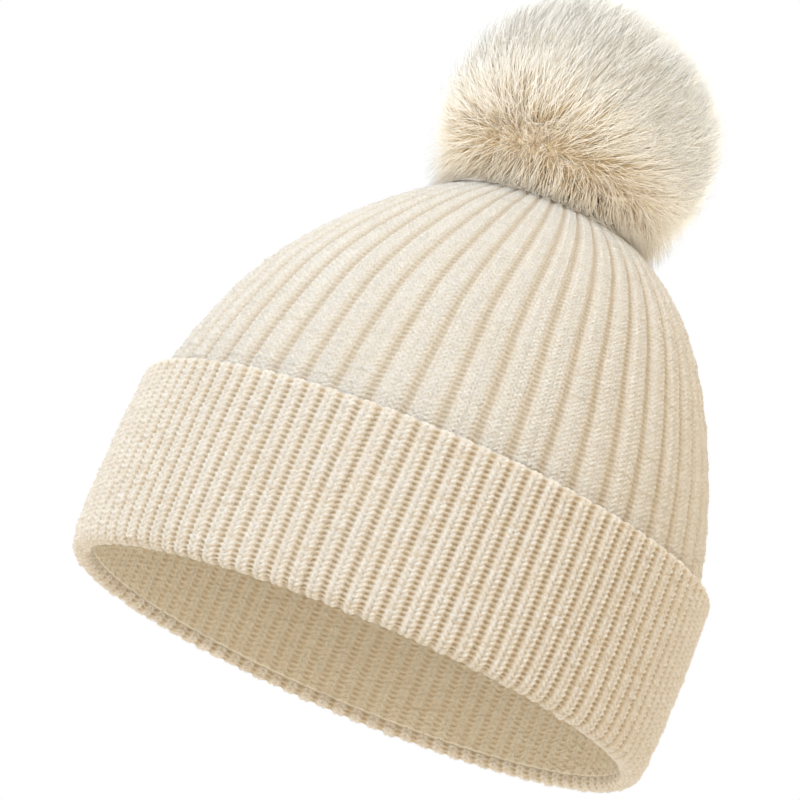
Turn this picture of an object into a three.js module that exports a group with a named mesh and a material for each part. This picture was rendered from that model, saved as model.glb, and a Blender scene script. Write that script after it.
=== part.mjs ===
// A pom pom beanie: a seamless rib-knit hat with a turned-up cuff, and a faux fur pompom on a press stud.
// Millimetres, +Z up, front -Y. The origin is the centre of the head opening, on the plane that the cuff's
// fold stands on. The knit pieces are plain solids of revolution that hold the space of the ribbed fabric.
import * as THREE from "three";

// Driving dimensions.
const KNIT = 3.8; // thickness of one layer of rib knit
const LAYER_GAP = 0.5; // between the turned-up cuff and the band it lies on
const JOIN_GAP = 0.3; // between pieces that touch
const CROWN_RADIUS = 97; // outer radius where the dome starts
const CROWN_START = 60; // height at which the dome starts to round in
const CROWN_TOP = 171.5; // height of the apex
const CUFF_HEIGHT = 64.4; // fold to the cast-on edge
const POMPOM_RADIUS = 48; // to the tips of the fur
const POMPOM_LIFT = 24.5; // centre of the ball above the apex
const CORE_RADIUS = 30; // ball of stuffing under the fur cover

// Sides of a full turn.
const KNIT_SIDES = 48;
const BALL_SIDES = 32;
const SMALL_SIDES = 20;

// The dome is a superellipse: blunt at the apex, nearly upright where it meets the band.
const DOME_POWER = 1.4;
const DOME_ROOT = 0.425;
const DOME_STEPS = 11;
const NECK_RADIUS = 5; // hole that is left where the last row is drawn together

// Band and cuff.
const FOLD_TOP = 4; // top of the fold's lip, which the band stands over
const BAND_RADIUS = CROWN_RADIUS + 1.2;
const BAND_TOP = 61.7;
const CUFF_INSIDE = BAND_RADIUS + LAYER_GAP;
const CUFF_OUTSIDE = CUFF_INSIDE + KNIT;
const WELT = 3; // height of the welt at the cast-on edge

// Felt and thread.
const PATCH_RADIUS = 14;
const DISC_RADIUS = 15;
const FELT = 1.2;
const THREAD_HOLE = 1.1; // hole in felt for a rivet stem
const FUR_MOUTH = 19; // opening that the drawstring closes round the felt disc

const colours = {
  knit: 0xe8dcc6,
  fur: 0xe9dfcc,
  felt: 0xe4d8c0,
  thread: 0xeee4d2,
  stuffing: 0xf6f4ee,
  metal: 0xc4c2bc,
};

const beanie = new THREE.Group();

function material(name) {
  const metal = name === "metal";
  return new THREE.MeshStandardMaterial({
    color: colours[name],
    roughness: metal ? 0.32 : 0.95,
    metalness: metal ? 1 : 0,
  });
}

function add(name, geometry, finish) {
  const mesh = new THREE.Mesh(geometry, material(finish));
  mesh.name = name;
  beanie.add(mesh);
}

// A solid of revolution about Z. The outline is [radius, height] pairs that run with the material on their
// left, and it either starts and ends on the axis or closes on itself.
function turned(outline, sides) {
  const onAxis = outline[0][0] === 0 && outline[outline.length - 1][0] === 0;
  const loop = onAxis ? outline : [...outline, outline[0]];
  const points = loop.map(([radius, height]) => new THREE.Vector2(radius, height));
  return new THREE.LatheGeometry(points, sides).rotateX(Math.PI / 2);
}

// The points of an arc in the outline's plane, from one angle to another in degrees, 0 along +radius.
function arc(centreRadius, centreHeight, radius, from, to, steps) {
  return Array.from({ length: steps + 1 }, (_, i) => {
    const angle = THREE.MathUtils.degToRad(from + ((to - from) * i) / steps);
    return [centreRadius + radius * Math.cos(angle), centreHeight + radius * Math.sin(angle)];
  });
}

// A closed ring of round section, such as a drawn thread.
function thread(ringRadius, height, radius) {
  const section = arc(ringRadius, height, radius, 0, 360, 6).slice(0, -1);
  return turned(section, SMALL_SIDES);
}

// Height of the dome's outside at a radius.
function domeHeight(radius) {
  const share = 1 - Math.pow(radius / CROWN_RADIUS, 1 / DOME_ROOT);
  return CROWN_START + (CROWN_TOP - CROWN_START) * Math.pow(share, 1 / DOME_POWER);
}

// The dome's outside, from its lower edge to the neck, with steps that shorten towards the apex.
function domeOutside() {
  const lowest = Math.acos(0.9975);
  const highest = Math.acos(NECK_RADIUS / CROWN_RADIUS);
  return Array.from({ length: DOME_STEPS }, (_, i) => {
    const angle = lowest + ((highest - lowest) * i) / (DOME_STEPS - 1);
    const radius = CROWN_RADIUS * Math.cos(angle);
    return [radius, domeHeight(radius)];
  });
}

// The same line moved inwards by the knit's thickness.
function movedIn(line, distance) {
  return line.map(([radius, height], i) => {
    const [r0, h0] = line[Math.max(i - 1, 0)];
    const [r1, h1] = line[Math.min(i + 1, line.length - 1)];
    const length = Math.hypot(r1 - r0, h1 - h0);
    return [radius - (distance * (h1 - h0)) / length, height + (distance * (r1 - r0)) / length];
  });
}

// The knitted crown, in wide ribs, from the band to the drawn-together neck.
function crownShell() {
  const outside = domeOutside();
  const inside = movedIn(outside, KNIT).slice(1, -1);
  const lower = BAND_TOP + JOIN_GAP;
  const neckInside = [NECK_RADIUS, CROWN_TOP - KNIT - 0.1];
  const profile = [
    [CROWN_RADIUS - KNIT, lower],
    [CROWN_RADIUS, lower],
    ...outside,
    neckInside,
    ...inside.reverse(),
  ];
  return turned(profile, KNIT_SIDES);
}

// The inner layer of the band, in narrow ribs, against the head.
function brimBand() {
  const bottom = FOLD_TOP + JOIN_GAP;
  const inside = BAND_RADIUS - KNIT;
  return turned(
    [
      [inside, bottom],
      [BAND_RADIUS, bottom],
      [BAND_RADIUS, BAND_TOP],
      [inside, BAND_TOP],
    ],
    KNIT_SIDES,
  );
}

// The outer layer, turned up over the band. Its fold passes under the band and has a flat land to stand on,
// and its cast-on edge ends in a slight welt.
function turnUpCuff() {
  const foldInside = BAND_RADIUS - KNIT;
  return turned(
    [
      [foldInside + 1.6, 0],
      [CUFF_OUTSIDE - 4, 0],
      [CUFF_OUTSIDE - 2.2, 1],
      [CUFF_OUTSIDE - 1.1, 3.5],
      [CUFF_OUTSIDE - 0.4, 9],
      [CUFF_OUTSIDE, 20],
      [CUFF_OUTSIDE, 42],
      [CUFF_OUTSIDE - 0.9, CUFF_HEIGHT - WELT],
      [CUFF_OUTSIDE - 0.4, CUFF_HEIGHT - WELT / 2],
      [CUFF_OUTSIDE - 1.2, CUFF_HEIGHT],
      [CUFF_INSIDE + 1, CUFF_HEIGHT],
      [CUFF_INSIDE, CUFF_HEIGHT - 1],
      [CUFF_INSIDE, FOLD_TOP],
      [foldInside, FOLD_TOP],
      [foldInside + 0.3, 1.4],
    ],
    KNIT_SIDES,
  );
}

// Riveted through the drawn-together top of the crown: a post with its flange inside, a felt patch, and
// the stud.
const STEM = 0.8;
const PLATE = 0.7; // thickness of the pressed metal
const STUD_FLANGE = 6.5;
const STUD_HEAD = 2.5;

function studPost() {
  const under = CROWN_TOP - 7.5;
  const top = CROWN_TOP + 2.8;
  return turned(
    [
      [0, under],
      [5.5, under],
      [5.5, under + PLATE],
      [STEM, under + PLATE],
      [STEM, top],
      [0, top],
    ],
    SMALL_SIDES,
  );
}

function washer(radius, hole, bottom, thickness) {
  return turned(
    [
      [hole, bottom],
      [radius, bottom],
      [radius, bottom + thickness],
      [hole, bottom + thickness],
    ],
    SMALL_SIDES,
  );
}

function pressStud() {
  const seat = CROWN_TOP + 0.3;
  return turned(
    [
      [0, seat + 2.8],
      [THREAD_HOLE, seat + 2.8],
      [THREAD_HOLE, seat],
      [STUD_FLANGE, seat],
      [STUD_FLANGE, seat + PLATE],
      [2, seat + PLATE],
      [2, seat + 2.4],
      [STUD_HEAD, seat + 3.2],
      [2.1, seat + 4],
      [0, seat + 4.4],
    ],
    SMALL_SIDES,
  );
}

// The socket's mouth faces down over the stud. A groove inside it holds the ring spring.
const SOCKET_BOTTOM = CROWN_TOP + 1.4;
const SOCKET_MOUTH = 2.8;
const SOCKET_FLANGE = 6.2;

function pressSocket() {
  const bottom = SOCKET_BOTTOM;
  const flange = bottom + 3.3;
  const top = bottom + 4.2;
  return turned(
    [
      [SOCKET_MOUTH, bottom],
      [4.4, bottom],
      [4.4, flange],
      [SOCKET_FLANGE, flange],
      [SOCKET_FLANGE, top],
      [1, top],
      [1, top - 0.5],
      [SOCKET_MOUTH, top - 0.5],
      [SOCKET_MOUTH, bottom + 1.3],
      [3.6, bottom + 1.3],
      [3.6, bottom + 0.3],
      [SOCKET_MOUTH, bottom + 0.3],
    ],
    SMALL_SIDES,
  );
}

// An open ring of wire, drawn spread, as it is while the stud's head passes through it.
function ringSpring() {
  const ringRadius = 3.1;
  const gap = THREE.MathUtils.degToRad(25);
  const height = SOCKET_BOTTOM + 0.8;
  const steps = 20;
  const line = Array.from({ length: steps + 1 }, (_, i) => {
    const angle = gap / 2 + ((2 * Math.PI - gap) * i) / steps;
    return new THREE.Vector3(ringRadius * Math.cos(angle), ringRadius * Math.sin(angle), height);
  });
  const wire = new THREE.Shape().absarc(0, 0, 0.3, 0, 2 * Math.PI);
  return new THREE.ExtrudeGeometry(wire, {
    extrudePath: new THREE.CatmullRomCurve3(line),
    steps,
    curveSegments: 3,
    bevelEnabled: false,
  });
}

const DISC_BOTTOM = SOCKET_BOTTOM + 4.5;

function socketCap() {
  const seat = DISC_BOTTOM + FELT + JOIN_GAP;
  return turned(
    [
      [0, DISC_BOTTOM - 0.6],
      [0.7, DISC_BOTTOM - 0.6],
      [0.7, seat],
      [6.5, seat],
      [6.5, seat + 0.5],
      [4.5, seat + 1.3],
      [0, seat + 1.5],
    ],
    SMALL_SIDES,
  );
}

// The pompom: a ball of stuffing in a faux fur cover whose mouth is drawn in round the felt disc.
const BALL_CENTRE = CROWN_TOP + POMPOM_LIFT;
const BALL_BOTTOM = CROWN_TOP + 2;
const CORE_BOTTOM = CROWN_TOP + 10.2;

function degreesAt(radius, below) {
  return -THREE.MathUtils.radToDeg(Math.asin(below / radius));
}

function pompomCore() {
  const start = degreesAt(CORE_RADIUS, BALL_CENTRE - CORE_BOTTOM);
  const side = arc(0, BALL_CENTRE, CORE_RADIUS, start, 90, 9);
  side[side.length - 1][0] = 0;
  return turned([[0, CORE_BOTTOM], ...side], BALL_SIDES);
}

function pompomFur() {
  const lining = CORE_RADIUS + 0.5;
  const floor = CORE_BOTTOM - 0.5;
  const lowest = degreesAt(POMPOM_RADIUS, BALL_CENTRE - BALL_BOTTOM);
  const outside = arc(0, BALL_CENTRE, POMPOM_RADIUS, lowest, 90, 14);
  const inside = arc(0, BALL_CENTRE, lining, 90, degreesAt(lining, BALL_CENTRE - floor), 8);
  outside[outside.length - 1][0] = 0;
  inside[0][0] = 0;
  return turned([...inside, [FUR_MOUTH, floor], [FUR_MOUTH, BALL_BOTTOM], ...outside], BALL_SIDES);
}

add("crown_shell", crownShell(), "knit");
add("brim_band", brimBand(), "knit");
add("turn_up_cuff", turnUpCuff(), "knit");
add("crown_gather_thread", thread(3.6, CROWN_TOP - 2, 0.7), "thread");
add("crown_felt_patch", washer(PATCH_RADIUS, THREAD_HOLE, CROWN_TOP - 6.5, FELT), "felt");
add("stud_post", studPost(), "metal");
add("press_stud", pressStud(), "metal");
add("socket_ring_spring", ringSpring(), "metal");
add("press_socket", pressSocket(), "metal");
add("socket_cap", socketCap(), "metal");
add("pompom_base_disc", washer(DISC_RADIUS, 1, DISC_BOTTOM, FELT), "felt");
add("pompom_core", pompomCore(), "stuffing");
add("pompom_fur", pompomFur(), "fur");
add("pompom_drawstring", thread(FUR_MOUTH - 1.1, CROWN_TOP + 4, 0.6), "thread");

export default beanie;
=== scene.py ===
"""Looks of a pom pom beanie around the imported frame: knitted crown, band and cuff, and a fur pompom.

Metres, +Z up, front -Y. The knitting is a fine grid over each shell's outline, raised by its ribs and
stitches. The fur is a cloud of tapered hairs over a dense short pile.
"""

import math

import bpy
import numpy as np
from mathutils import Matrix, Vector


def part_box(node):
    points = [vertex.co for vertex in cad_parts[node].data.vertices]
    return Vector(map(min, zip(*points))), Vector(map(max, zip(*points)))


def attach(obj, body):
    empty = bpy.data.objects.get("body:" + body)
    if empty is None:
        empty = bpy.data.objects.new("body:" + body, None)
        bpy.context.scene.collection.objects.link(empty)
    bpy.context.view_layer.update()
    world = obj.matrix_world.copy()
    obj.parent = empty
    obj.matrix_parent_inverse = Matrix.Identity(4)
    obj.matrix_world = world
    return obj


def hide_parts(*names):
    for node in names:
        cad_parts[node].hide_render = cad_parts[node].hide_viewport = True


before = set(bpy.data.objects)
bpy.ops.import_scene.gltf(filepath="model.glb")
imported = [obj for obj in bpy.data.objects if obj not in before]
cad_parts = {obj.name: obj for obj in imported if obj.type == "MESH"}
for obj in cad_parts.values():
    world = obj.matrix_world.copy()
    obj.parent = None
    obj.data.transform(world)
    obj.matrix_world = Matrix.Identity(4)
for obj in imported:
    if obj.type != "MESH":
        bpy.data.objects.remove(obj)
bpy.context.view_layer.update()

MM = 0.001
TURN = 2 * math.pi

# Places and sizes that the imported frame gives.
_, CUFF_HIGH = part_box("turn_up_cuff")
BAND_LOW, BAND_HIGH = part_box("brim_band")
CROWN_LOW, CROWN_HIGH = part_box("crown_shell")
FUR_LOW, FUR_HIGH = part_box("pompom_fur")
CORE_LOW, CORE_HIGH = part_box("pompom_core")
CUFF_RADIUS = CUFF_HIGH[0]
CUFF_TOP = CUFF_HIGH[2]
BAND_RADIUS = BAND_HIGH[0]
CROWN_RADIUS = CROWN_HIGH[0]
CROWN_TOP = CROWN_HIGH[2]
POMPOM_RADIUS = FUR_HIGH[0]
POMPOM_CENTRE = FUR_HIGH[2] - POMPOM_RADIUS

# The knit.
KNIT = 3.8 * MM  # thickness of one layer
COURSE = 1.8 * MM  # height of one row of stitches
CUFF_RIBS = 100
CROWN_RIBS = 50
CUFF_RELIEF = 2.0 * MM  # from a groove's floor to a rib's crest
CROWN_RELIEF = 2.1 * MM
PROUD = 0.3 * MM  # the ribs' crests stand this far out of the frame's solids
BULGE = 0.45 * MM  # how far the knit swells in and out round the hat
CUFF_COLUMNS = 12  # grid columns in one rib
BAND_COLUMNS = 8
CROWN_COLUMNS = 26

# The crown's shoulders hang to the side and are narrower than the frame's dome.
SAG = 3.2 * MM
SLIM = 1.4 * MM
SHOULDER_HEIGHTS = (105 * MM, 155 * MM)  # where the shoulders start, and where they are complete
SHOULDER_RADII = (12 * MM, 45 * MM)

# The frame's dome is a superellipse.
DOME_START = 60 * MM
DOME_POWER = 1.4
DOME_ROOT = 0.425
NECK_RADIUS = 5 * MM


# Knitted surfaces ---------------------------------------------------------------------------------

def smooth_step(low, high, value):
    """0 up to low and 1 from high on, with a soft rise between. With low over high it falls instead."""
    share = np.clip((value - low) / (high - low), 0, 1)
    return share * share * (3 - 2 * share)


def waves(angle, count, seed, lowest=2, highest=9):
    """A smooth random curve round the hat, about -1 to 1."""
    draw = np.random.default_rng(seed)
    total = np.zeros_like(angle)
    for _ in range(count):
        total += draw.normal() * np.sin(draw.integers(lowest, highest) * angle + draw.uniform(0, TURN))
    return total / math.sqrt(count)


def walk(corners, step):
    """Points along a line of corners, about one step apart, with the first corner and without the last."""
    corners = np.asarray(corners, float)
    lengths = np.linalg.norm(np.diff(corners, axis=0), axis=1)
    at = np.concatenate([[0], np.cumsum(lengths)])
    count = max(1, round(at[-1] / step))
    s = np.arange(count) * at[-1] / count
    return np.stack([np.interp(s, at, corners[:, 0]), np.interp(s, at, corners[:, 1])], axis=1)


def rounded(corners, steps=3):
    """The same line with its corners cut to a curve, its ends kept."""
    line = np.asarray(corners, float)
    for _ in range(steps):
        first = line[:-1] * 0.75 + line[1:] * 0.25
        second = line[:-1] * 0.25 + line[1:] * 0.75
        middle = np.stack([first, second], axis=1).reshape(-1, 2)
        line = np.concatenate([line[:1], middle[1:-1], line[-1:]])
    return line


def make_mesh(name, points, faces, corners, values=None):
    """A mesh piece from arrays of points and of faces that all have the same number of corners."""
    mesh = bpy.data.meshes.new(name)
    mesh.vertices.add(len(points))
    mesh.vertices.foreach_set("co", np.ascontiguousarray(points, np.float32).ravel())
    mesh.loops.add(len(faces) * corners)
    mesh.loops.foreach_set("vertex_index", np.ascontiguousarray(faces, np.int32).ravel())
    mesh.polygons.add(len(faces))
    mesh.polygons.foreach_set("loop_start", np.arange(0, len(faces) * corners, corners, dtype=np.int32))
    mesh.polygons.foreach_set("use_smooth", np.ones(len(faces), bool))
    for key, value in (values or {}).items():
        layer = mesh.attributes.new(key, "FLOAT", "POINT")
        layer.data.foreach_set("value", np.ascontiguousarray(value, np.float32).ravel())
    mesh.update(calc_edges=True)
    piece = bpy.data.objects.new(name, mesh)
    bpy.context.scene.collection.objects.link(piece)
    return piece


def ring_faces(rows, columns):
    """Quads of a grid that closes on itself both along the rows and across them."""
    row = np.arange(rows)[:, None] * columns
    above = np.roll(np.arange(rows), -1)[:, None] * columns
    column = np.arange(columns)[None, :]
    beside = np.roll(np.arange(columns), -1)[None, :]
    return np.stack([row + column, row + beside, above + beside, above + column], axis=-1).reshape(-1, 4)


def soften(values, travelled, reach):
    """Values along the outline, averaged over a reach each way so that they change without a step."""
    near = np.exp(-(((travelled[:, None] - travelled[None, :]) / (reach / 2)) ** 2))
    near *= np.gradient(travelled)[None, :]
    return near @ values / near.sum(axis=1)


def knit_ring(name, sections, ribs, columns_per_rib, wander):
    """A closed ring of knitting.

    A section is (points, stitch, relief): points is part of the outline, stitch gives the level of each
    point of the grid, 0 in a groove to 1 on a crest, and relief is the height that this spans.
    """
    outline = np.concatenate([points for points, _, _ in sections])
    along = np.roll(outline, -1, axis=0) - np.roll(outline, 1, axis=0)
    along /= np.linalg.norm(along, axis=1)[:, None]
    normal = np.stack([along[:, 1], -along[:, 0]], axis=1)
    steps = np.linalg.norm(np.diff(outline, axis=0, append=outline[:1]), axis=1)
    travelled = np.concatenate([[0], np.cumsum(steps)[:-1]])[:, None]

    columns = ribs * columns_per_rib
    angle = np.arange(columns)[None, :] / columns * TURN
    across = (np.arange(columns) % columns_per_rib)[None, :] / columns_per_rib
    rib = (np.arange(columns) // columns_per_rib)[None, :]
    draw = np.random.default_rng(ribs + len(outline))
    course_count = int(travelled[-1, 0] / COURSE) + 2
    uneven = draw.normal(0, 0.08, (course_count, ribs))
    offset = draw.normal(0, 0.06, (1, ribs))

    rise = []
    reliefs = []
    groove_shade = []
    first = 0
    for points, stitch, relief in sections:
        rows = slice(first, first + len(points))
        first += len(points)
        course = travelled[rows] / COURSE
        index = np.clip(course.astype(int), 0, course_count - 1)
        level = stitch(across, course + offset[:, rib[0]])
        level = level * (1 + uneven[index, rib])
        width = np.clip(outline[rows, 0][:, None] / CROWN_RADIUS, 0, 1) ** 0.6
        rise.append((level - 1) * width)
        reliefs.append(np.full(len(points), relief))
        groove_shade.append(1 - level)
    relief = soften(np.concatenate(reliefs), travelled[:, 0], 3 * MM)[:, None]
    rise = np.concatenate(rise) * relief + PROUD
    # How deep each point lies in a groove, which the yarn material turns into painted shade.
    groove_shade = np.concatenate(groove_shade) * np.clip(relief / MM, 0, 1)

    height = outline[:, 1][:, None]
    bulge = BULGE * waves(angle, 4, 3, 2, 6) * np.clip(outline[:, 0][:, None] / CROWN_RADIUS, 0, 1)
    winding = np.sin(height / (23 * MM) + 5 * np.sin(3 * angle))
    angle = angle + wander * TURN / ribs * (waves(angle + 0 * height, 5, ribs) * 0.5 + winding * 0.35)
    radius = outline[:, 0][:, None] + bulge + rise * normal[:, 0][:, None]
    z = height + rise * normal[:, 1][:, None]
    shoulder = smooth_step(*SHOULDER_HEIGHTS, z) * smooth_step(*SHOULDER_RADII, radius)
    radius = radius - SLIM * shoulder
    x = radius * np.cos(angle) + SAG * shoulder
    points = np.stack([x, radius * np.sin(angle), z + 0 * angle], axis=-1)
    return make_mesh(name, points.reshape(-1, 3), ring_faces(len(outline), columns), 4, {"groove_shade": groove_shade})


def legs(share, course, slope=0.85):
    """The two legs of each knit stitch: ridges that rise outwards from the middle of the wale, 0 to 1."""
    return 0.5 + 0.5 * np.cos(TURN * (course - slope * np.abs(share)))


def pits(share, course):
    """The holes between the purl bars that join two wales, 0 to 1."""
    hole = 0.5 - 0.5 * np.cos(TURN * course)
    return hole * np.clip(1 - share**2, 0, 1) ** 0.5


def narrow_rib(across, course):
    """One knit wale and one purl wale, 0 in the pits and 1 on the crest."""
    share = np.abs(across - 0.5) / 0.5
    wale = np.clip(share / 0.66, 0, 1)
    shoulder = 1 - 0.5 * smooth_step(0.35, 0.8, share)
    knit = shoulder - 0.34 * (1 - legs(wale, course)) * (1 - wale**4) - 0.2 * np.exp(-((wale / 0.2) ** 2))
    groove = np.clip((1 - share) / 0.4, 0, 1)
    return knit - 0.5 * pits(groove, course + 0.2) * smooth_step(0.55, 0.72, share)


def wide_rib(across, course):
    """Three knit wales side by side, then a broad purl groove."""
    share = np.abs(across - 0.5) / 0.5
    wale = np.abs((np.clip(across - 0.5, -0.32, 0.32) / 0.64 + 0.5) * 3 % 1 * 2 - 1)
    shoulder = 1 - 0.7 * smooth_step(0.42, 0.9, share)
    stitch = 0.36 * (1 - legs(wale, course)) + 0.16 * np.exp(-((wale / 0.25) ** 2)) + 0.12 * wale**6
    groove = np.clip((1 - share) / 0.3, 0, 1)
    hole = 0.3 * pits(groove, course + 0.2) * smooth_step(0.68, 0.8, share)
    return shoulder - stitch * (1 - smooth_step(0.6, 0.75, share)) - hole


def plain(across, course):
    """No stitches, for edges."""
    return np.ones((len(course), across.shape[1]))


def dome_height(radius):
    """Height of the frame's dome at a radius."""
    share = 1 - (np.asarray(radius) / CROWN_RADIUS) ** (1 / DOME_ROOT)
    return DOME_START + (CROWN_TOP - DOME_START) * np.clip(share, 0, 1) ** (1 / DOME_POWER)


def make_cuff():
    """Outer face upwards from the fold, over the welt, down the inner face, then under the lip."""
    inside = CUFF_RADIUS - KNIT
    lip = BAND_RADIUS - KNIT
    lip_top = BAND_LOW[2] - 0.15 * MM
    face = rounded([
        (lip + 2.6 * MM, 0.1 * MM),
        (CUFF_RADIUS - 3.4 * MM, 0.1 * MM),
        (CUFF_RADIUS - 1.2 * MM, 2.6 * MM),
        (CUFF_RADIUS - 0.2 * MM, 12 * MM),
        (CUFF_RADIUS, 30 * MM),
        (CUFF_RADIUS - 0.3 * MM, 48 * MM),
        (CUFF_RADIUS - 1 * MM, CUFF_TOP - 1.6 * MM),
    ])
    edge = rounded([
        (CUFF_RADIUS - 1 * MM, CUFF_TOP - 1.6 * MM),
        (CUFF_RADIUS - 1.1 * MM, CUFF_TOP - 0.1 * MM),
        (inside + 0.6 * MM, CUFF_TOP),
        (inside + 0.3 * MM, CUFF_TOP - 2 * MM),
    ])
    back = [(inside + 0.3 * MM, CUFF_TOP - 2 * MM), (inside + 0.3 * MM, lip_top)]
    tuck = [(inside + 0.3 * MM, lip_top), (lip, lip_top)]
    fold = rounded([
        (lip, lip_top),
        (lip + 0.1 * MM, 2.4 * MM),
        (lip + 1.1 * MM, 0.6 * MM),
        (lip + 2.6 * MM, 0.1 * MM),
    ])
    sections = [
        (walk(face, COURSE / 5), narrow_rib, CUFF_RELIEF),
        (walk(edge, 0.4 * MM), narrow_rib, CUFF_RELIEF * 0.4),
        (walk(back, COURSE), narrow_rib, 0.3 * MM),
        (walk(tuck, COURSE), plain, 0),
        (walk(fold, COURSE / 5), narrow_rib, CUFF_RELIEF * 0.5),
    ]
    return knit_ring("cuff_knit", sections, CUFF_RIBS, CUFF_COLUMNS, 0.15)


def make_band():
    """Inner face downwards, outer face upwards, with the same ribs on both."""
    inside = BAND_RADIUS - KNIT
    outside = BAND_RADIUS - 0.3 * MM
    low = BAND_LOW[2] + 0.05 * MM
    high = BAND_HIGH[2]
    sections = [
        (walk([(inside, high), (inside, low)], COURSE / 4), narrow_rib, CUFF_RELIEF * 0.5),
        (walk([(inside, low), (outside, low)], COURSE), plain, 0),
        (walk([(outside, low), (outside, high)], COURSE / 2), narrow_rib, 1.2 * MM),
        (walk([(outside, high), (inside, high)], COURSE), plain, 0),
    ]
    return knit_ring("band_knit", sections, CUFF_RIBS, BAND_COLUMNS, 0.1)


def make_crown():
    """Outer face up to the neck, down the neck, and back along the inner face."""
    share = np.linspace(math.acos(0.9995), math.acos(NECK_RADIUS / CROWN_RADIUS), 160)
    radius = CROWN_RADIUS * np.cos(share)
    outer = np.stack([radius, dome_height(radius)], axis=1)
    outer = np.concatenate([[(CROWN_RADIUS, CROWN_LOW[2])], outer[outer[:, 1] > CROWN_LOW[2] + 0.2 * MM]])
    along = np.gradient(outer, axis=0)
    along /= np.linalg.norm(along, axis=1)[:, None]
    inner = (outer - KNIT * np.stack([along[:, 1], -along[:, 0]], axis=1))[::-1]
    inner = inner[inner[:, 0] > NECK_RADIUS]
    top = outer[-1]
    sections = [
        (walk(outer, COURSE / 4), wide_rib, CROWN_RELIEF),
        (walk([top, inner[0]], COURSE), plain, 0),
        (walk(inner, COURSE), wide_rib, 0.8 * MM),
        (walk([inner[-1], outer[0]], COURSE), plain, 0),
    ]
    return knit_ring("crown_knit", sections, CROWN_RIBS, CROWN_COLUMNS, 0.07)


# Fur ----------------------------------------------------------------------------------------------

FUR_ROOT = 36.5 * MM  # radius that the hairs start at
FUR_TIP = POMPOM_RADIUS * 1.05  # and end at
UNDERFUR = 39.5 * MM  # radius of the dense short pile under the long hair
FUR_MOUTH = 19 * MM  # radius of the hole that the cover is drawn in to
FUR_COUNT = 56000
TUFT_COUNT = 1500
FUR_STOPS = (0.0, 0.35, 0.7, 1.0)  # shares of a hair's length, from root to tip
FUR_WIDTHS = (0.16 * MM, 0.14 * MM, 0.09 * MM, 0)  # the hair's radius at each
HAIR_SIDES = 3
FUR_SWEEP = 0.75  # how far the hair lies over, away from the whorl
FUR_DROOP = 12 * MM  # how far the tips underneath hang
FUR_CLEARANCE = 0.6 * MM  # between the lowest hair and the crown
WHORL = np.array([-0.307, -0.47, -0.828])  # the way from the ball's centre to the whorl
WHORL /= np.linalg.norm(WHORL)


def sphere_points(count, seed):
    """Points spread evenly over a unit ball, slightly shaken."""
    draw = np.random.default_rng(seed)
    index = np.arange(count) + 0.5
    z = 1 - 2 * index / count
    angle = index * math.pi * (3 - math.sqrt(5))
    flat = np.sqrt(1 - z * z)
    points = np.stack([flat * np.cos(angle), flat * np.sin(angle), z], axis=1)
    points += draw.normal(0, 0.6 / math.sqrt(count), points.shape)
    return points / np.linalg.norm(points, axis=1)[:, None]


def nearest(points, centres):
    """The index of each point's nearest centre."""
    picked = [np.argmax(chunk @ centres.T, axis=1) for chunk in np.array_split(points, 60)]
    return np.concatenate(picked)


def lifted(points):
    """Fur that lies on the crown: no point is lower than the sagging dome under it."""
    shoulder = smooth_step(*SHOULDER_RADII, np.hypot(points[:, 0], points[:, 1]))
    radius = np.hypot(points[:, 0] - SAG * shoulder, points[:, 1]) + SLIM * shoulder
    floor = dome_height(np.minimum(radius, CROWN_RADIUS * 0.99)) + FUR_CLEARANCE
    points[:, 2] = np.maximum(points[:, 2], floor)
    return points


def unit(vectors):
    return vectors / np.linalg.norm(vectors, axis=1)[:, None]


def hair_roots():
    """Points on a unit ball, none of them under the fur's lower edge."""
    low = (FUR_LOW[2] + 0.5 * MM - POMPOM_CENTRE) / FUR_ROOT
    roots = sphere_points(FUR_COUNT, 1)
    return roots[roots[:, 2] > low]


def hair_tips(roots, draw):
    """The way each tip points: in tufts, away from the whorl, and down on the lower edge."""
    tufts = sphere_points(TUFT_COUNT, 2)
    tuft_tips = unit(tufts + draw.normal(0, 0.09, tufts.shape))
    own = nearest(roots, tufts)
    gather = draw.uniform(0.25, 0.7, TUFT_COUNT)[own][:, None] * draw.uniform(0.7, 1, (len(roots), 1))
    tips = roots * (1 - gather) + tuft_tips[own] * gather + draw.normal(0, 0.035, roots.shape)

    nearness = (roots @ WHORL)[:, None]
    beneath = smooth_step(-0.4, -0.58, roots[:, 2])[:, None]
    lying = 0.4 + 0.6 * smooth_step(-0.5, 0.5, nearness)
    tips += FUR_SWEEP * (roots * nearness - WHORL) * lying * (1 - beneath)
    tips[:, 2:] += (1.2 * roots[:, 2:] - tips[:, 2:]) * beneath
    return unit(tips)


def hair_faces(count, per_hair):
    """Triangles of three-sided hairs, each closed at the root and pointed at the tip."""
    faces = [(0, 2, 1)]
    for ring in range(len(FUR_STOPS) - 2):
        for i in range(HAIR_SIDES):
            a = ring * HAIR_SIDES + i
            b = ring * HAIR_SIDES + (i + 1) % HAIR_SIDES
            faces += [(a, b, b + HAIR_SIDES), (a, b + HAIR_SIDES, a + HAIR_SIDES)]
    tip = per_hair - 1
    last = tip - HAIR_SIDES
    faces += [(last + i, last + (i + 1) % HAIR_SIDES, tip) for i in range(HAIR_SIDES)]
    return (np.arange(count)[:, None, None] * per_hair + np.array(faces)[None]).reshape(-1, 3)


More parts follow.
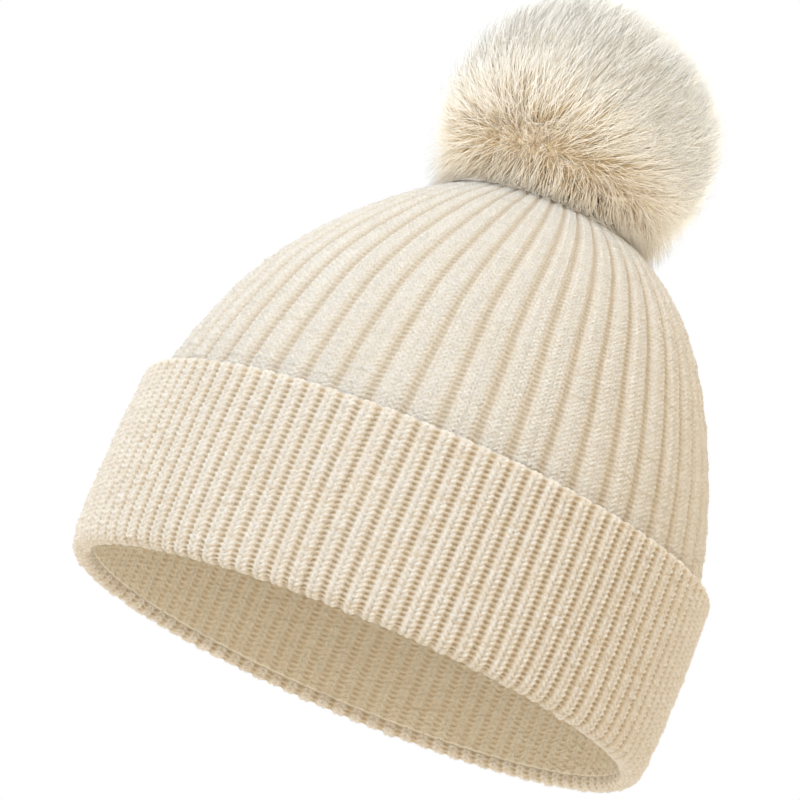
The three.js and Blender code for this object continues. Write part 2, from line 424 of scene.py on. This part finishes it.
def make_fur():
    """Tapered three-sided hairs, rooted on the backing and drawn together in tufts."""
    draw = np.random.default_rng(11)
    roots = hair_roots()
    count = len(roots)
    tips = hair_tips(roots, draw)
    uneven = draw.normal(0, 0.03, (count, 1)) - 0.25 * draw.random((count, 1)) ** 4
    shorter = 0.28 * smooth_step(-0.25, -0.58, roots[:, 2])[:, None]
    reach = (FUR_TIP - FUR_ROOT) * (1 + uneven) * (1 - shorter)
    droop = FUR_DROOP * smooth_step(0.1, -0.6, roots[:, 2])
    curl = draw.normal(0, 0.05, roots.shape)
    # Painted light: hairs away from the whorl, over the top of the ball, are painted paler along their
    # whole length.
    painted_light = 0.55 * smooth_step(0.85, 0.15, roots @ WHORL)[:, None]

    side = unit(np.cross(roots, [0.3, 0.5, 0.8]))
    other = np.cross(roots, side)
    turn = np.arange(HAIR_SIDES)[:, None] * TURN / HAIR_SIDES
    around = side[:, None, :] * np.cos(turn) + other[:, None, :] * np.sin(turn)
    rings = []
    colours = []
    for stop, width in zip(FUR_STOPS, FUR_WIDTHS):
        bend = stop**1.3
        way = unit(roots * (1 - bend) + tips * bend + curl * math.sin(math.pi * stop))
        centre = way * (FUR_ROOT + reach * stop) + [0, 0, POMPOM_CENTRE]
        centre[:, 2] -= droop * stop**2
        centre = lifted(centre)[:, None, :]
        rings.append(centre + around * width if width else centre)
        # Colour values along each hair: the fur material paints low values dark, as painted shade deep in
        # the fur.
        colours.append(np.repeat(np.clip(stop + painted_light, 0, 1), rings[-1].shape[1], axis=1))
    points = np.concatenate(rings, axis=1)
    per_hair = points.shape[1]
    values = {
        "tip": np.concatenate(colours, axis=1),
        "shade": draw.uniform(0, 1, (count, 1)) + np.zeros((1, per_hair)),
    }
    return make_mesh("fur_pile", points.reshape(-1, 3), hair_faces(count, per_hair), 3, values)


def make_underfur():
    """The fur's cloth with its dense short pile, drawn in to a mouth underneath."""
    lining = CORE_HIGH[0] + 0.6 * MM
    roof = CORE_LOW[2] - 0.6 * MM
    outer = ball_line(UNDERFUR, FUR_LOW[2] - 0.5 * MM, 48)
    inner = ball_line(lining, roof, 30)[::-1]
    mouth = [(FUR_MOUTH, roof), (FUR_MOUTH, FUR_LOW[2])]
    return turned("fur_underpile", [*outer, *inner, *mouth], 96)


def ball_line(radius, low, steps):
    """A ball's outline from a height near its bottom up to its top, on the axis."""
    start = math.asin((low - POMPOM_CENTRE) / radius)
    angles = np.linspace(start, math.pi / 2, steps)
    line = [(radius * math.cos(a), POMPOM_CENTRE + radius * math.sin(a)) for a in angles[:-1]]
    return [*line, (0, POMPOM_CENTRE + radius)]


def make_stuffing():
    """A lumpy ball of fibre fill."""
    return turned("fibre_fill", [(0, CORE_LOW[2]), *ball_line(CORE_HIGH[0], CORE_LOW[2], 30)], 64)


def turned(name, outline, sides):
    """A solid of revolution, closed on the axis or on itself."""
    closed = outline[0][0] > 0 and outline[-1][0] > 0
    angles = [TURN * i / sides for i in range(sides)]
    points = []
    rings = []
    for radius, z in outline:
        if radius <= 0:
            rings.append([len(points)])
            points.append((0, 0, z))
            continue
        rings.append(range(len(points), len(points) + sides))
        points += [(radius * math.cos(angle), radius * math.sin(angle), z) for angle in angles]
    faces = []
    pairs = list(zip(rings, rings[1:]))
    if closed:
        pairs.append((rings[-1], rings[0]))
    for lower, upper in pairs:
        for i in range(sides):
            j = (i + 1) % sides
            below = [lower[i % len(lower)], lower[j % len(lower)]]
            above = [upper[j % len(upper)], upper[i % len(upper)]]
            faces.append(tuple(dict.fromkeys(below + above)))
    mesh = bpy.data.meshes.new(name)
    mesh.from_pydata(points, [], faces)
    mesh.shade_smooth()
    piece = bpy.data.objects.new(name, mesh)
    bpy.context.scene.collection.objects.link(piece)
    return piece


# Materials ----------------------------------------------------------------------------------------

MIX_A, MIX_B, MIX_RESULT = 6, 7, 2  # a mix node's sockets for colours


class Shader:
    """A material's node tree, with short calls for the nodes that the materials share."""

    def __init__(self, name):
        self.material = bpy.data.materials.new(name)
        self.material.use_nodes = True
        self.tree = self.material.node_tree
        self.main = self.tree.nodes["Principled BSDF"]

    def node(self, kind, **settings):
        made = self.tree.nodes.new(kind)
        for key, value in settings.items():
            if hasattr(made, key):
                setattr(made, key, value)
            else:
                made.inputs[key.replace("_", " ")].default_value = value
        return made

    def link(self, out, to):
        self.tree.links.new(out, to)

    def set(self, **values):
        for key, value in values.items():
            self.main.inputs[key.replace("_", " ")].default_value = value

    def place(self, scale=(1, 1, 1)):
        """Object coordinates in millimetres, stretched by scale."""
        coordinates = self.node("ShaderNodeTexCoord")
        mapping = self.node("ShaderNodeMapping")
        mapping.inputs["Scale"].default_value = [1000 * s for s in scale]
        self.link(coordinates.outputs["Object"], mapping.inputs["Vector"])
        return mapping.outputs["Vector"]

    def noise(self, size, detail=3.0, roughness=0.6, scale=(1, 1, 1)):
        """Noise whose features are size millimetres across."""
        texture = self.node("ShaderNodeTexNoise", Scale=1 / size, Detail=detail, Roughness=roughness)
        self.link(self.place(scale), texture.inputs["Vector"])
        return texture.outputs["Fac"]

    def ramp(self, value, stops):
        ramp = self.node("ShaderNodeValToRGB")
        elements = ramp.color_ramp.elements
        while len(elements) < len(stops):
            elements.new(0.5)
        for element, (position, colour) in zip(elements, stops):
            element.position = position
            element.color = (*colour, 1)
        self.link(value, ramp.inputs["Fac"])
        return ramp.outputs["Color"]

    def attribute(self, name):
        return self.node("ShaderNodeAttribute", attribute_name=name).outputs["Fac"]

    def multiply(self, a, b, share=1.0):
        mix = self.node("ShaderNodeMix", data_type="RGBA", blend_type="MULTIPLY")
        mix.inputs["Factor"].default_value = share
        self.link(a, mix.inputs[MIX_A])
        self.link(b, mix.inputs[MIX_B])
        return mix.outputs[MIX_RESULT]

    def colour(self, socket):
        self.link(socket, self.main.inputs["Base Color"])

    def rough(self, value, low, high):
        span = self.node("ShaderNodeMapRange", To_Min=low, To_Max=high)
        self.link(value, span.inputs["Value"])
        self.link(span.outputs["Result"], self.main.inputs["Roughness"])

    def bump(self, *layers):
        """Each layer is (height socket, strength, distance in millimetres)."""
        last = None
        for height, strength, distance in layers:
            bump = self.node("ShaderNodeBump", Strength=strength, Distance=distance * MM)
            self.link(height, bump.inputs["Height"])
            if last:
                self.link(last, bump.inputs["Normal"])
            last = bump.outputs["Normal"]
        self.link(last, self.main.inputs["Normal"])


SPECK = (0.84, 0.78, 0.68)


def knit_material(name, crest, groove, shallow=0.1, speck=SPECK):
    """Soft brushed yarn: crest colour down to a shallow level, then towards the groove colour, which is
    painted shade in the grooves, with specks.
    """
    shader = Shader(name)
    base = shader.ramp(shader.attribute("groove_shade"), [(shallow, crest), (0.95, groove)])
    fleck = shader.noise(0.7, 5, 0.8)
    patch = shader.noise(22, 2)
    flecked = shader.multiply(base, shader.ramp(fleck, [(0.4, speck), (0.56, (1, 1, 1))]))
    patched = shader.multiply(flecked, shader.ramp(patch, [(0.3, (0.97, 0.96, 0.94)), (0.7, (1, 1, 1))]))
    shader.colour(patched)
    shader.set(Sheen_Weight=0.35, Sheen_Roughness=0.45, Specular_IOR_Level=0.15)
    shader.main.inputs["Sheen Tint"].default_value = (1, 0.97, 0.92, 1)
    shader.rough(fleck, 0.86, 1.0)
    shader.bump((shader.noise(0.45, 4, 0.8), 1.0, 0.9), (shader.noise(1.6, 3), 0.4, 0.6))
    return shader.material


def fur_material():
    """Darker tan roots, which are painted shade deep in the fur, and pale tips, with each hair a little
    different. Hairs away from the whorl carry paler values, which is painted light.
    """
    shader = Shader("fur")
    # The dark tan towards the roots is painted shade deep in the fur.
    base = shader.ramp(shader.attribute("tip"), [
        (0.0, (0.5, 0.34, 0.16)),
        (0.5, (0.8, 0.66, 0.44)),
        (1.0, (1.0, 0.97, 0.9)),
    ])
    hair = shader.ramp(shader.attribute("shade"), [(0.0, (0.94, 0.92, 0.88)), (1.0, (1, 1, 1))])
    patch = shader.ramp(shader.noise(9, 2), [(0.3, (0.98, 0.97, 0.95)), (0.7, (1, 1, 1))])
    shader.colour(shader.multiply(shader.multiply(base, hair), patch))
    shader.rough(shader.attribute("shade"), 0.45, 0.65)
    shader.set(Sheen_Weight=0.5, Sheen_Roughness=0.4, Specular_IOR_Level=0.3)
    return shader.material


def cloth_material(name, dark, light, size):
    """Felt, thread, backing and fill: fibres of a given size in millimetres."""
    shader = Shader(name)
    fibre = shader.noise(size, 5, 0.7)
    shader.colour(shader.ramp(fibre, [(0.35, dark), (0.65, light)]))
    shader.rough(fibre, 0.85, 1.0)
    shader.set(Sheen_Weight=0.3, Sheen_Roughness=0.5, Specular_IOR_Level=0.2)
    shader.bump((fibre, 0.6, size))
    return shader.material


def metal_material():
    """Nickel plate with fine turning marks."""
    shader = Shader("nickel_plate")
    marks = shader.noise(0.4, 3, 0.6, (1, 1, 6))
    shader.colour(shader.ramp(marks, [(0.3, (0.5, 0.49, 0.46)), (0.7, (0.62, 0.61, 0.58))]))
    shader.rough(marks, 0.22, 0.4)
    shader.set(Metallic=1.0)
    shader.bump((marks, 0.15, 0.1))
    return shader.material


def floor_material():
    """A plain pale studio floor."""
    shader = Shader("pale_floor")
    shader.colour(shader.ramp(shader.noise(400, 2), [(0.3, (0.9, 0.9, 0.9)), (0.7, (0.93, 0.93, 0.93))]))
    shader.set(Roughness=0.9, Specular_IOR_Level=0.1)
    return shader.material


def dress(name, material):
    """Gives a node or piece its material."""
    piece = bpy.data.objects[name]
    piece.data.materials.clear()
    piece.data.materials.append(material)


# Stage --------------------------------------------------------------------------------------------

DISTANCE = 1.7
SENSOR = 36  # millimetres
ELEVATION = math.radians(-12.4)
LEAN = math.radians(23.1)  # the hat's axis leans this far to the right in the picture
FRAME_WIDTH = 0.2625  # what the picture's width covers at the hat
AIM_RIGHT = 15.8 * MM  # from the origin to the picture's centre, in the picture
AIM_UP = 88.6 * MM
FLOOR = -1.6  # low enough for views from underneath


def make_camera():
    """A long lens from the front and below, rolled so that the hat leans to the right in the picture."""
    forward = Vector((0, math.cos(ELEVATION), -math.sin(ELEVATION)))
    across = Vector((1, 0, 0))
    up = across.cross(forward)
    right = across * math.cos(LEAN) + up * math.sin(LEAN)
    top = up * math.cos(LEAN) - across * math.sin(LEAN)
    aim = right * AIM_RIGHT + top * AIM_UP
    data = bpy.data.cameras.new("camera")
    data.sensor_width = SENSOR
    data.lens = SENSOR * DISTANCE / FRAME_WIDTH
    camera = bpy.data.objects.new("camera", data)
    turn = Matrix((right, top, -forward)).transposed().to_4x4()
    camera.matrix_world = Matrix.Translation(aim - forward * DISTANCE) @ turn
    bpy.context.scene.collection.objects.link(camera)
    bpy.context.scene.camera = camera


def add_light(name, place, size, power, colour):
    """A soft square light that faces the hat."""
    data = bpy.data.lights.new(name, "AREA")
    data.size = size
    data.energy = power
    data.color = colour
    light = bpy.data.objects.new(name, data)
    light.location = place
    light.rotation_euler = (Vector((0, 0, 0.1)) - Vector(place)).to_track_quat("-Z", "Y").to_euler()
    bpy.context.scene.collection.objects.link(light)


def make_world(light, seen):
    """Warm light all round, and a plain white that only the camera sees."""
    world = bpy.data.worlds.new("studio")
    bpy.context.scene.world = world
    world.use_nodes = True
    tree = world.node_tree
    background = tree.nodes["Background"]
    path = tree.nodes.new("ShaderNodeLightPath")
    mix = tree.nodes.new("ShaderNodeMix")
    mix.data_type = "RGBA"
    mix.inputs[MIX_A].default_value = (*light, 1)
    mix.inputs[MIX_B].default_value = (*seen, 1)
    tree.links.new(path.outputs["Is Camera Ray"], mix.inputs["Factor"])
    tree.links.new(mix.outputs[MIX_RESULT], background.inputs["Color"])


def make_floor():
    """A wide plain floor, which is part of the stage and not of the hat."""
    bpy.ops.mesh.primitive_plane_add(size=12, location=(0, 0, FLOOR))
    floor = bpy.context.object
    floor.name = "floor"
    dress("floor", floor_material())


# Putting it together ------------------------------------------------------------------------------

# Yarn colours, on the ribs and down in the grooves, where the darker colour is painted shade. The band's
# are painted brighter, as painted light for the dim inside of the hat.
CREST = (0.9, 0.84, 0.75)
CUFF_GROOVE_SHADE = (0.62, 0.47, 0.28)
CROWN_CREST = (0.92, 0.85, 0.74)
CROWN_GROOVE_SHADE = (0.6, 0.49, 0.35)
# Painted light: the band's crest and groove colours are the same yarn's, painted brighter for the dim
# inside of the hat.
BAND_CREST_PAINTED_LIGHT = (0.97, 0.89, 0.73)
BAND_GROOVE_SHADE_LIT = (0.86, 0.71, 0.49)

cuff = make_cuff()
dress("cuff_knit", knit_material("cuff_yarn", CREST, CUFF_GROOVE_SHADE))
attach(cuff, "cuff")
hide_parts("turn_up_cuff")

band = make_band()
# The band's brighter yarn and specks are painted light.
dress("band_knit", knit_material("band_yarn", BAND_CREST_PAINTED_LIGHT, BAND_GROOVE_SHADE_LIT, speck=(0.94, 0.91, 0.85)))
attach(band, "hat")
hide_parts("brim_band")

crown = make_crown()
dress("crown_knit", knit_material("crown_yarn", CROWN_CREST, CROWN_GROOVE_SHADE, shallow=0.25))
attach(crown, "hat")
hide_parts("crown_shell")

fur = make_fur()
dress("fur_pile", fur_material())
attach(fur, "pompom_ball")
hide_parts("pompom_fur")

underfur = make_underfur()
# The pile's darker tan is painted shade deep in the fur, under the long hair.
dress("fur_underpile", cloth_material("underpile", (0.75, 0.59, 0.37), (0.92, 0.79, 0.58), 0.8))
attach(underfur, "pompom_ball")
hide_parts("pompom_fur")

fill = make_stuffing()
dress("fibre_fill", cloth_material("fibre_fill", (0.8, 0.78, 0.74), (0.95, 0.94, 0.91), 2.5))
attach(fill, "pompom_ball")
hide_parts("pompom_core")

felt = cloth_material("felt", (0.62, 0.54, 0.4), (0.76, 0.68, 0.54), 0.7)
thread = cloth_material("thread", (0.66, 0.58, 0.44), (0.82, 0.75, 0.62), 0.35)
metal = metal_material()
for node in ("crown_felt_patch", "pompom_base_disc"):
    dress(node, felt)
for node in ("crown_gather_thread", "pompom_drawstring"):
    dress(node, thread)
for node in ("stud_post", "press_stud", "socket_ring_spring", "press_socket", "socket_cap"):
    dress(node, metal)

make_floor()
make_world(light=(1.56, 1.43, 1.22), seen=(1, 1, 1))
add_light("key", place=(-1.1, -1.3, 1.0), size=1.2, power=38, colour=(0.5, 0.7, 1))
add_light("back", place=(0.5, 1.5, 1.1), size=1.4, power=26, colour=(0.75, 0.86, 1))
make_camera()
bpy.context.scene.view_settings.view_transform = "Standard"
bpy.context.scene.cycles.diffuse_bounces = 10  # pale yarn and fur are lit mostly by bounced light
